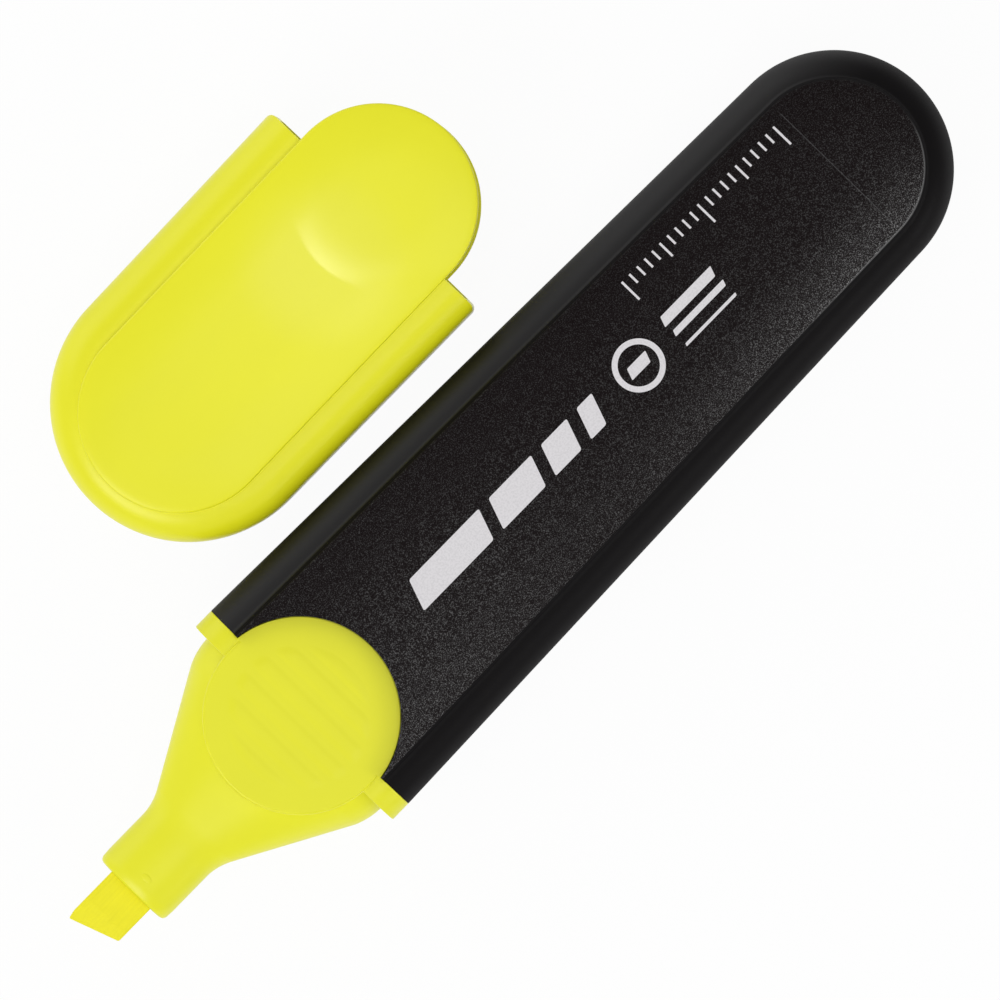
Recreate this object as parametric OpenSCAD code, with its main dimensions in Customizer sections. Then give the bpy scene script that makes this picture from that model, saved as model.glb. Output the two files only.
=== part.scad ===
// Flat highlighter with a wedge-shaped cap, lying on a table with the cap taken off and laid beside it.
// The pen lies along X with its nib towards -X, and the cap lies on the +Y side of it.
// The origin is on the lower face of the barrel, half way along the barrel, where the pen rests.

/* [Barrel] */
// Length of the barrel, from its mouth to its round end
barrel_length = 80.7; // [72:0.1:92]
// Width of the barrel at its mouth
barrel_mouth_width = 25.6; // [25:0.1:28]
// Radius of the round end, seen from above
barrel_end_radius = 11.1; // [10.2:0.1:12.4]
// Thickness of the pen, over both panels
pen_thickness = 15; // [14.6:0.1:18]
// Wall of the barrel
barrel_wall = 1.2; // [0.9:0.05:1.3]

/* [Rim and raised panels] */
// Width of the rim beside the panel at the mouth
rim_mouth_width = 3.2; // [2.6:0.1:3.3]
// Width of the rim beside the panel at the round end
rim_end_width = 2.8; // [2:0.1:3.2]
// Rounding of the outer edge of the rim
rim_rounding = 3.2; // [2:0.1:3.6]
// Height of the step from the rim up to the edge of a panel
panel_step = 1.1; // [0.6:0.05:1.4]
// Fall of a panel from its flat middle strip to its edge
panel_crown = 0.5; // [0.2:0.05:0.8]
// Width of the flat middle strip of a panel
flat_strip_width = 8; // [4:0.5:10]

/* [Front section] */
// Thickness of the collar between the barrel and the cap
collar_thickness = 2.1; // [1.5:0.1:3]
// Distance of the round pad's centre in front of the barrel's mouth
pad_setback = 1.3; // [0.6:0.1:1.4]
// Radius of the notch that the barrel leaves round the pad
notch_radius = 9.4; // [9:0.05:9.5]
// Width of the nose where it leaves the collar
shoulder_width = 22.6; // [20:0.1:23]
// Thickness of the nose where it leaves the collar
shoulder_thickness = 11.8; // [11.4:0.1:12]
// Run of the round shoulder, from the collar to the straight flank
shoulder_run = 2.9; // [2:0.1:4]
// How much narrower the nose is at the end of its shoulder
shoulder_fall = 1.3; // [0.8:0.1:2]
// Run of the straight flank
flank_run = 10.2; // [9:0.1:12]
// Width of the nose at the front of its flank
flank_end_width = 10; // [9.4:0.1:12]
// Run of the hollow flare between the flank and the nozzle
flare_run = 2.9; // [2:0.1:4]
// Width of the nozzle
nozzle_width = 8.3; // [7.6:0.1:8.6]
// Thickness of the nozzle
nozzle_thickness = 6.5; // [5.8:0.1:6.8]
// Length of the straight nozzle
nozzle_length = 5.7; // [5:0.1:7]
// Bevel round the front of the nozzle
nozzle_bevel = 0.4; // [0.2:0.05:0.7]
// Length of the plug that goes into the barrel
plug_length = 12; // [10.5:0.5:16]
// Wall of the plug's side pockets and of the tube that holds the reservoir
plug_wall = 0.9; // [0.7:0.05:1.1]

/* [Nib] */
// Width of the nib, which is the length of its writing edge
nib_width = 5; // [4.4:0.1:5.4]
// Thickness of the nib
nib_thickness = 3.4; // [2.8:0.1:3.8]
// Length of the nib in front of the nozzle
nib_reach = 6; // [4:0.1:7]
// Slant of the writing edge from square
nib_slant = 19.5; // [0:0.5:30]
// Length over which the nib thins towards its edge
nib_bevel_run = 2.6; // [1:0.1:3.5]
// Thickness of the writing edge
nib_edge_thickness = 2.4; // [1.5:0.1:2.8]
// Length of the nib inside the reservoir
nib_seat_depth = 4; // [2:0.5:6]

/* [Reservoir] */
// Diameter of the fibre core
core_diameter = 9.3; // [8.4:0.1:9.5]
// Length of the reservoir
reservoir_length = 62; // [50:0.5:64]
// Thickness of the film round the core
sleeve_wall = 0.3; // [0.2:0.05:0.4]
// Distance of the reservoir's front in front of the barrel's mouth
reservoir_lead = 1.5; // [0:0.1:2]

/* [Cap] */
// Length of the cap from its flaps to its tail, without the tongues
cap_length = 37.7; // [36:0.1:44]
// Width of the cap at its flaps
cap_mouth_width = 26.3; // [26:0.1:28.5]
// Radius of the cap's round tail, seen from above
cap_tail_radius = 12.9; // [12.4:0.1:13.4]
// Thickness of the cap at its tail, over both panels
cap_tail_thickness = 13.4; // [12.8:0.1:14]
// Thickness of the rim round the tail
cap_tail_rim_thickness = 10.7; // [10.2:0.1:11.2]
// Width of the rim at the tail's end
cap_tail_band = 2.4; // [1.8:0.1:3.4]
// Distance from the flaps to the knee where the panels begin to slope
cap_knee = 6; // [4.3:0.1:8]
// Wall of the cap
cap_wall = 1.2; // [1:0.05:1.3]

/* [Inner seal] */
// Wall of the sealing cup
seal_wall = 0.8; // [0.6:0.05:0.9]
// Length of nozzle that the cup closes on
seal_grip = 4.6; // [3:0.1:5]
// Room in front of the nib inside the cup
nib_room = 1.2; // [0.8:0.1:1.6]
// Thickness of the ribs inside the cap and the barrel
rib_thickness = 1; // [0.8:0.1:1.4]

/* [Resting place of the cap] */
// Distance from the pen's axis to the cap's axis
cap_offset_y = 27.9; // [27.6:0.1:60]
// Distance from the barrel's middle back to the flaps of the cap
cap_offset_x = 3; // [-10:0.1:20]
// Turn of the cap away from the pen's direction
cap_turn = 0.5; // [-0.8:0.1:0.8]

/* [Clearances] */
// Gap round the plug in the barrel
plug_gap = 0.1; // [0.05:0.05:0.2]
// Gap round the nib in its slot
nib_gap = 0.05; // [0.05:0.05:0.15]
// Gap round the reservoir, the core and the sealing cup
seat_gap = 0.1; // [0.05:0.05:0.2]
// Gap between the pad and the edge of the notch
pad_gap = 0.6; // [0.4:0.05:0.8]
// Gap round a tongue of the cap in its notch, and over the pad
tongue_gap = 0.15; // [0.1:0.05:0.3]

/* [Hidden] */

$fn = 32;
rounding_facets = 16;   // facets of a full turn on small edge roundings
crown_steps = 4;        // straight steps in the curved fall of a panel
section_steps = 40;     // sides of a nose section
blend_steps = 4;        // sections in the shoulder and in the flare of the nose
slab = 0.5;             // thickness of the sections that hulls are spanned between
overrun = 1;            // how far a cut runs past the face that it opens

// Stations along the pen
mouth_x = -barrel_length / 2;
end_x = barrel_length / 2;
end_centre_x = end_x - barrel_end_radius;
collar_x = mouth_x - collar_thickness;
pad_x = mouth_x - pad_setback;
nozzle_x = collar_x - shoulder_run - flank_run - flare_run;
nozzle_end_x = nozzle_x - nozzle_length;
nib_tip_x = nozzle_end_x - nib_reach;
reservoir_x = mouth_x - reservoir_lead;

// Levels above the middle plane of the pen
panel_root = panel_step + barrel_wall + overrun;
rim_thickness = pen_thickness - 2 * (panel_crown + panel_step);
pad_radius = notch_radius - pad_gap;
pad_level = pen_thickness / 2 - max(barrel_wall + plug_gap, cap_wall + tongue_gap);

// Reservoir and its bore
core_radius = core_diameter / 2;
sleeve_radius = core_radius + seat_gap / 2 + sleeve_wall;
bore_radius = sleeve_radius + seat_gap;

// Cap, with its own origin on the pen's axis where its flaps meet the collar
tongue_radius = notch_radius - tongue_gap;
tongue_x = collar_thickness - pad_setback;
cap_tail_centre_x = cap_tail_radius - cap_length;
cap_panel_tail_x = cap_tail_band - cap_length + tongue_radius;
cap_rim_slope = atan((rim_thickness - cap_tail_rim_thickness) / 2 / cap_length);
cap_slope = atan((pen_thickness - cap_tail_thickness) / 2 / (cap_length - cap_tail_band - cap_knee));

// Sealing cup, in the cap's own frame
seal_inner_width = nozzle_width + 2 * seat_gap;
seal_inner_thickness = nozzle_thickness + 2 * seat_gap;
seal_mouth_x = nozzle_end_x - collar_x + seal_grip;
seal_floor_x = nib_tip_x - collar_x - nib_room;
seal_end_x = seal_floor_x - seal_wall;

// Places the pen so that its lower panel lies on the table
module lay_pen() {
    translate([0, 0, pen_thickness / 2]) children();
}

// Places the cap on the sloping part of its lower panel
module lay_cap() {
    translate([-cap_offset_x - cap_knee, cap_offset_y, 0])
        rotate([0, -cap_slope, cap_turn])
            translate([cap_knee, 0, pen_thickness / 2])
                children();
}

// Runs a flat section, drawn as Y across and Z up, along X
module along_x(length) {
    rotate([90, 0, 90]) linear_extrude(length) children();
}

// Rounded rectangle centred on the axis
module rounded_section(width, thickness, rounding) {
    offset(r = rounding, $fn = rounding_facets)
        square([width - 2 * rounding, thickness - 2 * rounding], center = true);
}

// Thin section and round end that the low rim is spanned between
module rim_slab(width, thickness, rounding) {
    along_x(slab) rounded_section(width, thickness, rounding);
}

module rim_spin(radius, thickness, rounding) {
    rotate_extrude() intersection() {
        rounded_section(2 * radius, thickness, rounding);
        translate([0, -thickness]) square([radius, 2 * thickness]);
    }
}

// Right half of a panel's section: a flat strip, a curved fall to the edge and a straight wall
function fall_radius(run) = (run * run + panel_crown * panel_crown) / (2 * panel_crown);

function half_panel(half_width, flat) =
    let (run = half_width - flat, r = fall_radius(run), sweep = asin(run / r))
    concat(
        [[0, -panel_root], [0, 0]],
        [for (i = [0:crown_steps])
            let (a = sweep * i / crown_steps)
            [flat + r * sin(a), r * cos(a) - r]],
        [[half_width, -panel_root]]
    );

module panel_slab(half_width) {
    along_x(slab) for (side = [0, 1]) mirror([side, 0])
        polygon(half_panel(half_width, flat_strip_width / 2));
}

module panel_spin(radius) {
    rotate_extrude() polygon(half_panel(radius, flat_strip_width / 2));
}

// Outer form of the barrel, taken in by an inset for its inner faces and for what fits inside it
module barrel_rim(inset, lead) {
    rounding = max(rim_rounding - inset, 0.6);
    hull() {
        translate([mouth_x - lead, 0, 0])
            rim_slab(barrel_mouth_width - 2 * inset, rim_thickness - 2 * inset, rounding);
        translate([end_centre_x, 0, 0])
            rim_spin(barrel_end_radius - inset, rim_thickness - 2 * inset, rounding);
    }
}

module barrel_panel(inset, lead) {
    translate([0, 0, pen_thickness / 2 - inset]) hull() {
        translate([mouth_x - lead, 0, 0])
            panel_slab(barrel_mouth_width / 2 - rim_mouth_width - inset);
        translate([end_centre_x, 0, 0]) panel_spin(barrel_end_radius - rim_end_width - inset);
    }
}

module barrel_form(inset, lead = 1) {
    barrel_rim(inset, lead);
    for (side = [0, 1]) mirror([0, 0, side]) barrel_panel(inset, lead);
}

// Ribs that centre the reservoir in the barrel, and the web that it stops against
module barrel_ribs() {
    rib_x = mouth_x + plug_length + overrun;
    stop_x = reservoir_x + reservoir_length + seat_gap;
    rib_y = core_radius * 0.8;
    difference() {
        for (side = [-1, 1]) {
            translate([rib_x, side * rib_y - rib_thickness / 2, -pen_thickness / 2])
                cube([stop_x - rib_x, rib_thickness, pen_thickness]);
            translate([rib_x, side < 0 ? -barrel_mouth_width / 2 : 0, -rib_thickness / 2])
                cube([stop_x - rib_x, barrel_mouth_width / 2, rib_thickness]);
        }
        translate([mouth_x, 0, 0]) rotate([0, 90, 0])
            cylinder(r = bore_radius, h = stop_x - mouth_x, $fn = 64);
    }
    translate([stop_x, -barrel_mouth_width / 2, -rib_thickness / 2])
        cube([rib_thickness, barrel_mouth_width, rib_thickness]);
    translate([stop_x, -rib_thickness / 2, -pen_thickness / 2])
        cube([rib_thickness, rib_thickness, pen_thickness]);
}

module barrel() {
    color("#232325") lay_pen() difference() {
        barrel_form(0);
        difference() {
            barrel_form(barrel_wall, 2 * overrun);
            barrel_ribs();
        }
        // The notch in each panel's mouth end
        for (side = [0, 1]) mirror([0, 0, side])
            translate([pad_x, 0, rim_thickness / 2 - barrel_wall - plug_gap])
                cylinder(r = notch_radius, h = pen_thickness, $fn = 96);
        // Square face of the mouth
        translate([mouth_x - 3 * overrun, -barrel_mouth_width, -pen_thickness])
            cube([3 * overrun, 2 * barrel_mouth_width, 2 * pen_thickness]);
    }
}

// Oval section of the nose, a little squarer than an ellipse
function oval(width, thickness, power = 2.25) =
    [for (i = [0:section_steps - 1])
        let (a = 360 * i / section_steps, c = cos(a), s = sin(a))
        [sign(c) * pow(abs(c), 2 / power) * width / 2,
         sign(s) * pow(abs(s), 2 / power) * thickness / 2]];

// Closed skin over oval sections, each given as [place along the pen, width, thickness]
module oval_loft(stations) {
    n = section_steps;
    last = len(stations) - 1;
    points = [for (st = stations) for (p = oval(st[1], st[2])) [st[0], p[0], p[1]]];
    sides = [for (k = [0:last - 1]) for (i = [0:n - 1])
        let (j = (i + 1) % n)
        [k * n + i, k * n + j, (k + 1) * n + j, (k + 1) * n + i]];
    polyhedron(points, concat([[for (i = [n - 1:-1:0]) i]], sides, [[for (i = [0:n - 1]) last * n + i]]));
}

// Stations of the nose: round shoulder, straight flank, hollow flare, nozzle and its bevel
function nose_stations() =
    let (shoulder_end = collar_x - shoulder_run,
         flank_end = shoulder_end - flank_run,
         slope = (shoulder_thickness - nozzle_thickness) / (collar_x - nozzle_x))
    concat(
        [[collar_x + overrun, shoulder_width, shoulder_thickness]],
        [for (i = [0:blend_steps])
            let (part = i / blend_steps)
            [collar_x - shoulder_run * part,
             shoulder_width - shoulder_fall * part * part,
             shoulder_thickness - slope * shoulder_run * part * part]],
        [for (i = [0:blend_steps])
            let (part = 1 - i / blend_steps)
            [flank_end - flare_run * (1 - part),
             nozzle_width + (flank_end_width - nozzle_width) * part * part,
             nozzle_thickness + slope * flare_run * part * part]],
        [[nozzle_end_x + nozzle_bevel, nozzle_width, nozzle_thickness],
         [nozzle_end_x, nozzle_width - 2 * nozzle_bevel, nozzle_thickness - 2 * nozzle_bevel]]
    );

// The plug fills the mouth of the barrel, and its side pockets keep its walls thin
module plug() {
    pocket_x = mouth_x + overrun;
    pocket_inner_y = bore_radius + plug_wall;
    pocket_outer_y = barrel_mouth_width / 2 - barrel_wall - plug_gap - plug_wall - rim_rounding / 2;
    pocket_height = rim_thickness - 2 * (barrel_wall + plug_gap + plug_wall);
    difference() {
        intersection() {
            barrel_form(barrel_wall + plug_gap, 2 * overrun);
            translate([mouth_x - overrun, -barrel_mouth_width, -pen_thickness])
                cube([plug_length + overrun, 2 * barrel_mouth_width, 2 * pen_thickness]);
        }
        for (side = [0, 1]) mirror([0, side, 0])
            translate([pocket_x, pocket_inner_y, -pocket_height / 2])
                cube([plug_length, pocket_outer_y - pocket_inner_y, pocket_height]);
    }
}

module front_section() {
    funnel_length = shoulder_run + flank_run * 0.75;
    slot_radius = norm([nib_width, nib_thickness]) / 2 + nib_gap;
    color("#e4e83c") lay_pen() difference() {
        union() {
            translate([collar_x, 0, 0]) along_x(collar_thickness)
                rounded_section(barrel_mouth_width, rim_thickness, rim_rounding);
            oval_loft(nose_stations());
            plug();
            for (side = [0, 1]) mirror([0, 0, side])
                translate([pad_x, 0, nozzle_thickness / 2])
                    cylinder(r = pad_radius, h = pad_level - nozzle_thickness / 2, $fn = 96);
        }
        // Socket for the reservoir, funnel in front of it and slot for the nib
        translate([reservoir_x - seat_gap, 0, 0]) rotate([0, 90, 0])
            cylinder(r = bore_radius, h = plug_length + reservoir_lead + overrun, $fn = 64);
        translate([reservoir_x - funnel_length, 0, 0]) rotate([0, 90, 0])
            cylinder(r1 = slot_radius, r2 = bore_radius, h = funnel_length, $fn = 64);
        translate([nozzle_end_x - overrun, 0, 0])
            along_x(mouth_x - nozzle_end_x)
                square([nib_width + 2 * nib_gap, nib_thickness + 2 * nib_gap], center = true);
    }
}

// The nib is a bar with a slanted edge seen from above and a blunt wedge seen from the side
module nib_bar(gap = 0) {
    rear_x = reservoir_x + nib_seat_depth + gap;
    half_width = nib_width / 2 + gap;
    heel_x = nib_tip_x + nib_width * tan(nib_slant);
    intersection() {
        translate([0, 0, -nib_thickness]) linear_extrude(2 * nib_thickness)
            polygon([[nib_tip_x, half_width], [heel_x, -half_width],
                     [rear_x, -half_width], [rear_x, half_width]]);
        rotate([90, 0, 0]) translate([0, 0, -nib_width]) linear_extrude(2 * nib_width)
            polygon([[nib_tip_x, nib_edge_thickness / 2],
                     [nib_tip_x + nib_bevel_run, nib_thickness / 2 + gap],
                     [rear_x, nib_thickness / 2 + gap],
                     [rear_x, -nib_thickness / 2 - gap],
                     [nib_tip_x + nib_bevel_run, -nib_thickness / 2 - gap],
                     [nib_tip_x, -nib_edge_thickness / 2]]);
    }
}

module nib() {
    color("#eceb3a") lay_pen() nib_bar();
}

module reservoir_core() {
    color("#e6f23c") lay_pen() difference() {
        translate([reservoir_x, 0, 0]) rotate([0, 90, 0])
            cylinder(r = core_radius, h = reservoir_length, $fn = 64);
        nib_bar(nib_gap);
    }
}

module reservoir_sleeve() {
    color("#f2f2ee") lay_pen() translate([reservoir_x, 0, 0]) rotate([0, 90, 0]) difference() {
        cylinder(r = sleeve_radius, h = reservoir_length, $fn = 64);
        translate([0, 0, -overrun])
            cylinder(r = sleeve_radius - sleeve_wall, h = reservoir_length + 2 * overrun, $fn = 64);
    }
}

// Outer form of the cap, taken in by an inset for its inner faces
module cap_rim(inset, lead) {
    rounding = max(rim_rounding - inset, 0.6);
    thickness = rim_thickness - 2 * inset;
    tail_thickness = cap_tail_rim_thickness - 2 * inset;
    hull() {
        translate([lead - slab, 0, 0]) rim_slab(cap_mouth_width - 2 * inset, thickness, rounding);
        for (side = [0, 1]) mirror([0, 0, side])
            translate([lead, 0, thickness / 2]) rotate([0, -cap_rim_slope, 0])
                translate([cap_tail_centre_x - lead, 0, -tail_thickness / 2])
                    rim_spin(cap_tail_radius - inset, tail_thickness, rounding);
    }
}

module cap_panel(inset) {
    translate([0, 0, pen_thickness / 2 - inset]) hull() {
        translate([tongue_x, 0, 0]) panel_spin(tongue_radius - inset);
        translate([-cap_knee, 0, 0]) panel_slab(tongue_radius - inset);
        translate([-cap_knee, 0, 0]) rotate([0, -cap_slope, 0])
            translate([cap_panel_tail_x + cap_knee, 0, 0]) panel_spin(tongue_radius - inset);
    }
}

module cap_form(inset, lead) {
    cap_rim(inset, lead);
    for (side = [0, 1]) mirror([0, 0, side]) cap_panel(inset);
}

// Ribs that hold the sealing cup, and the web in the tail that it stops against
module cap_ribs() {
    rib_end_x = seal_mouth_x - overrun;
    half_width = seal_inner_width / 2 + seal_wall + seat_gap;
    half_height = seal_inner_thickness / 2 + seal_wall + seat_gap;
    for (side = [-1, 1]) {
        translate([seal_end_x, side < 0 ? -cap_mouth_width / 2 : half_width, -rib_thickness / 2])
            cube([rib_end_x - seal_end_x, cap_mouth_width / 2 - half_width, rib_thickness]);
        for (y = [-seal_inner_width / 4, seal_inner_width / 4])
            translate([seal_end_x, y - rib_thickness / 2, side < 0 ? -pen_thickness / 2 : half_height])
                cube([rib_end_x - seal_end_x, rib_thickness, pen_thickness / 2 - half_height]);
    }
    translate([-cap_length, -rib_thickness / 2, -pen_thickness / 2])
        cube([cap_length + seal_end_x - seat_gap, rib_thickness, pen_thickness]);
}

module cap() {
    color("#e6ea34") lay_cap() difference() {
        cap_form(0, 0);
        difference() {
            cap_form(cap_wall, overrun);
            cap_ribs();
        }
        // Pocket that lets in the round pads
        translate([tongue_x, 0, 0])
            cylinder(r = pad_radius + tongue_gap, h = 2 * (pad_level + tongue_gap), center = true, $fn = 96);
        // Room between the tongues
        translate([0, -cap_mouth_width, cap_wall - pen_thickness / 2])
            cube([cap_length, 2 * cap_mouth_width, pen_thickness - 2 * cap_wall]);
    }
}

module cap_seal() {
    rounding = seal_inner_thickness * 0.4;
    color("#eef0b0") lay_cap() difference() {
        translate([seal_end_x, 0, 0]) along_x(seal_mouth_x - seal_end_x)
            rounded_section(seal_inner_width + 2 * seal_wall, seal_inner_thickness + 2 * seal_wall,
                            rounding + seal_wall);
        translate([seal_floor_x, 0, 0]) along_x(seal_mouth_x - seal_floor_x + overrun)
            rounded_section(seal_inner_width, seal_inner_thickness, rounding);
    }
}

barrel();
front_section();
nib();
reservoir_core();
reservoir_sleeve();
cap();
cap_seal();
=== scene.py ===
"""Flat highlighter lying beside its pulled-off cap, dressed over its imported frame.

Everything is in metres, in the frame's own axes: X runs along the pen with the nib towards -X,
Y runs across it towards the cap, and Z is up from the table at zero.
"""

import math

import bmesh
import bpy
from mathutils import Matrix, Vector


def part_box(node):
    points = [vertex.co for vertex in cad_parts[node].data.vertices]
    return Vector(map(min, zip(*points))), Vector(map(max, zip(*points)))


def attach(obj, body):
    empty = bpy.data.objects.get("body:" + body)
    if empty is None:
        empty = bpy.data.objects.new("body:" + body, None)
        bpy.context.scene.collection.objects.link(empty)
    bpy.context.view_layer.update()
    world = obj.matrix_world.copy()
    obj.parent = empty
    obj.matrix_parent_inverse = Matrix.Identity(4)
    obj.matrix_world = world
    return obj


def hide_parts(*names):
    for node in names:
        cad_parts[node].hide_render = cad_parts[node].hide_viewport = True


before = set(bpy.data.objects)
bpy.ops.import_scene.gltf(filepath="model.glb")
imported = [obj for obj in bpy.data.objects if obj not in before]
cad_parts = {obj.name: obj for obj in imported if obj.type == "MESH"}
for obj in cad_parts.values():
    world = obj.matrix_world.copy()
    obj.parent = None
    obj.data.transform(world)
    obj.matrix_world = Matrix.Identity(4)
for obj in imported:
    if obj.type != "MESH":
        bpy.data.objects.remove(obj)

bl_info = {
    "name": "Flat highlighter",
    "version": (1, 0, 0),
    "blender": (4, 5, 0),
    "location": "View3D > Sidebar > Highlighter",
    "description": "Builds a flat highlighter and its cap, piece by piece, on a small studio stage",
    "category": "Add Mesh",
}

MM = 0.001
JOIN = 1e-6  # points nearer than this are one point
CLEAR = 20 * MM  # reach of a cutting form past what it cuts
LEAN = 0.36  # of the printed strokes' ends, along over across
SKIN_DEPTH = 0.004 * MM  # unevenness of the moulded yellow skin

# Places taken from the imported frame
BARREL_LOW, BARREL_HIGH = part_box("barrel")
FRONT_LOW, FRONT_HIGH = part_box("front_section")
NIB_LOW, NIB_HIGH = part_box("nib")
CORE_LOW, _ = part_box("reservoir_core")
SLEEVE_LOW, SLEEVE_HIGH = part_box("reservoir_sleeve")
MOUTH_X = BARREL_LOW.x
END_X = BARREL_HIGH.x
NOZZLE_END_X = FRONT_LOW.x
NIB_TIP_X = NIB_LOW.x
PEN_THICKNESS = BARREL_HIGH.z
PEN_MIDDLE = Matrix.Translation((0, 0, PEN_THICKNESS / 2))


def size(label, description, default):
    """A length that a user may change, in metres."""
    return bpy.props.FloatProperty(
        name=label, description=description, default=default, min=0, precision=5, unit="LENGTH"
    )


def angle(label, description, degrees):
    """An angle that a user may change."""
    return bpy.props.FloatProperty(
        name=label, description=description, default=math.radians(degrees), subtype="ANGLE"
    )


def tint(label, description, default):
    """A colour that a user may change, in linear light."""
    return bpy.props.FloatVectorProperty(
        name=label, description=description, default=default, min=0, max=1, size=3, subtype="COLOR"
    )


class BarrelSizes(bpy.types.PropertyGroup):
    """Sizes of the black barrel and of the marks on its upper panel."""

    mouth_width: size("Mouth width", "Width at the mouth", BARREL_HIGH.y - BARREL_LOW.y)
    end_radius: size("End radius", "Radius of the round end, seen from above", 0.0111)
    wall: size("Wall", "Thickness of the barrel's wall", 0.0012)
    panel_radius: size("Panel radius", "Radius of a panel's round end", 0.0083)
    panel_step: size("Panel step", "Height of the step from the rim to a panel", 0.0011)
    panel_crown: size("Panel crown", "Fall of a panel from its flat strip to its edge", 0.0005)
    flat_strip: size("Flat strip", "Half width of a panel's flat middle strip", 0.0036)
    panel_edge: size("Panel edge", "Rounding of a panel's edge", 0.00035)
    rim_foot: size("Rim foot", "Fillet between the rim and a panel's wall", 0.00045)
    rim_rounding: size("Rim rounding", "Rounding of the rim's outer edge", 0.0032)
    notch_radius: size("Notch radius", "Radius of the notch round the grip pad", 0.0094)
    mark_height: size("Mark height", "Thickness of the printed marks", 0.00002)


class FrontSizes(bpy.types.PropertyGroup):
    """Sizes of the yellow front section and of its nib."""

    collar_length: size("Collar length", "Length of the collar in front of the barrel", 0.0021)
    pad_setback: size("Pad setback", "Distance of the grip pad's centre from the mouth", 0.0013)
    pad_radius: size("Pad radius", "Radius of the round grip pad", 0.009)
    pad_level: size("Pad level", "Height of the grip pad over the pen's middle plane", 0.00615)
    pad_edge: size("Pad edge", "Rounding of the grip pad's edge", 0.00025)
    skirt_radius: size("Skirt radius", "Radius of the step round the pad, inside the notch", 0.0093)
    skirt_level: size("Skirt level", "Height of that step over the pen's middle plane", 0.00613)
    rib_height: size("Rib height", "Height of the soft grip ribs on the pad", 0.00005)
    rib_pitch: size("Rib pitch", "Distance from one grip rib to the next", 0.0024)
    rib_margin: size("Rib margin", "Distance from the ribs' ends to the pad's edge", 0.0022)
    shoulder_width: size("Shoulder width", "Width of the nose at the collar", 0.0226)
    nozzle_width: size("Nozzle width", "Width of the nozzle", 0.0083)
    nozzle_thickness: size("Nozzle thickness", "Thickness of the nozzle", 0.0065)
    nib_slant: angle("Nib slant", "Slant of the writing edge from square", 19.5)
    nib_edge: size("Nib edge", "Thickness of the writing edge", 0.0024)
    nib_bevel: size("Nib bevel", "Length over which the nib thins to its edge", 0.0026)
    nib_corner: size("Nib corner", "Length of the cut across the nib's leading corner", 0.0009)
    nib_corner_depth: size("Nib corner depth", "Width taken off by that cut", 0.0002)
    tick_height: size("Tick height", "Height of the short tick on the nozzle", 0.00007)


class CapSizes(bpy.types.PropertyGroup):
    """Sizes of the cap, which has its own frame: its flaps end at zero and its tail is towards -X."""

    length: size("Length", "Length from the flaps to the tail", 0.0377)
    mouth_width: size("Mouth width", "Width at the flaps", 0.0263)
    tail_radius: size("Tail radius", "Radius of the round tail, seen from above", 0.0129)
    tail_rim: size("Tail rim", "Thickness of the rim at the tail", 0.0107)
    tail_thickness: size("Tail thickness", "Thickness over both panels at the tail", 0.0134)
    tail_band: size("Tail band", "Width of the rim behind the panel", 0.0024)
    knee: size("Knee", "Distance from the flaps to where the panels begin to slope", 0.006)
    rest_x: size("Resting place, x", "Distance of the flaps from the pen's middle", 0.003)
    rest_y: size("Resting place, y", "Distance of the cap's middle line from the pen's", 0.0279)
    rest_turn: angle("Resting turn", "Turn of the cap from the pen's direction", 0.5)
    dome_start: size("Dome start", "Distance from the flaps to where a tongue's face falls", 0.003)
    dome_run: size("Dome run", "Length of the falling face, up to its crease with the slope", 0.004)
    dome_fall: size("Dome fall", "Fall of the face at the crease", 0.00019)
    dome_bow: size("Dome bow", "Radius in which the falling face starts, seen from above", 0.009)
    tongue_radius: size("Tongue radius", "Radius of the tongues", 0.00925)
    tongue_reach: size("Tongue reach", "Distance of the tongue's centre past the flaps", 0.0008)
    wall: size("Wall", "Thickness of the cap's wall", 0.0012)
    panel_edge: size("Panel edge", "Rounding of a panel's edge", 0.0002)
    flap_corner: size("Flap corner", "Rounding of the flaps' corners, seen from above", 0.0007)


class Colours(bpy.types.PropertyGroup):
    """Colours of the pieces and of the stage."""

    charcoal: tint("Charcoal", "Plastic of the barrel", (0.004, 0.0032, 0.0036))
    panel_charcoal: tint("Panel charcoal", "Same plastic between the grain", (0.0031, 0.0007, 0.001))
    print_white: tint("Print", "Ink of the printed marks", (0.76, 0.74, 0.76))
    front_yellow: tint("Front yellow", "Plastic of the front section", (0.85, 0.84, 0.016))
    cap_yellow: tint("Cap yellow", "Plastic of the cap", (0.865, 0.845, 0.012))
    nib_yellow: tint("Nib yellow", "Ink-soaked fibre of the nib", (0.93, 0.86, 0.021))
    backdrop: tint("Backdrop", "Floor and surroundings", (0.9, 0.9, 0.9))


# ---------------- drawing with mesh operators


class Section:
    """A section drawn as a wire in a YZ plane, one stroke after another."""

    def __init__(self, bm, x, y, z):
        self.bm = bm
        self.x = x
        self.end = bm.verts.new((x, y, z))

    def line(self, y, z):
        """A straight stroke to a point; returns the point, so that its corner can be rounded."""
        self.end = bmesh.ops.extrude_vert_indiv(self.bm, verts=[self.end])["verts"][0]
        moved(self.bm, [self.end], Vector((self.x, y, z)) - self.end.co)
        return self.end

    def arc(self, centre_y, centre_z, degrees, steps):
        """A round stroke about a centre; positive turns go from Y towards Z."""
        self.end = bmesh.ops.spin(
            self.bm,
            geom=[self.end],
            cent=(self.x, centre_y, centre_z),
            axis=(1, 0, 0),
            angle=math.radians(degrees),
            steps=steps,
        )["geom_last"][0]
        return self.end

    def round_corner(self, point, rounding, segments=4):
        """Rounds a corner of the wire."""
        rounded(self.bm, [point], rounding, segments, "VERTICES")


def whole(bm):
    """All points, edges and faces of a mesh."""
    return bm.verts[:] + bm.edges[:] + bm.faces[:]


def points_of(geometry):
    """The points among mixed geometry."""
    return [g for g in geometry if isinstance(g, bmesh.types.BMVert)]


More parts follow.
